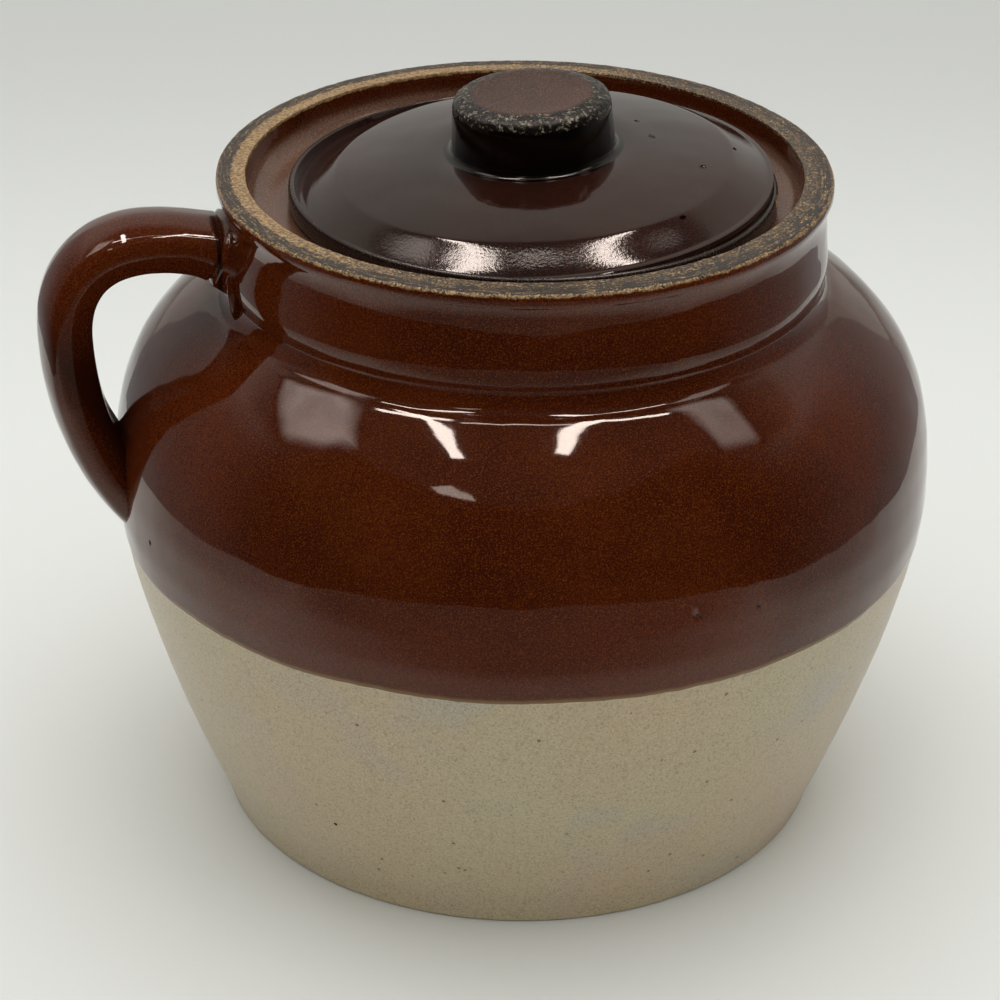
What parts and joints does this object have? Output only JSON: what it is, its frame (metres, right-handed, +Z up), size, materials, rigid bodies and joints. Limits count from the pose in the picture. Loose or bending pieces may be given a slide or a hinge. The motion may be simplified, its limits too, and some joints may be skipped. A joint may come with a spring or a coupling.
{
  "type": "stoneware bean pot",
  "caption": "Round-bellied stoneware bean pot with a short neck, a strap handle and a loose inset lid with a turned knob.",
  "frame": {"origin": "on the resting face, on the axis of the pot", "axes": "+Z up along the axis of the pot; the handle points to -X and is symmetric about the XZ plane"},
  "size_m": [0.2341, 0.216, 0.1977],
  "materials": {
    "body_clay": "glossy red-brown slip glaze above, pale buff glazed stoneware below",
    "brown_glaze": "glossy red-brown slip glaze",
    "lid_glaze": "glossy near-black brown slip glaze",
    "knob_glaze": "glossy near-black brown slip glaze, worn round the top edge"
  },
  "bodies": {
    "pot": {"pot_body": "body_clay", "handle": "brown_glaze"},
    "lid": {"lid": "lid_glaze", "knob": "knob_glaze"}
  },
  "joints": [
    {"name": "lid_lift", "type": "slide", "parent": "pot", "child": "lid", "axis": [0, 0, 1], "range_m": [0, 0.06]}
  ]
}
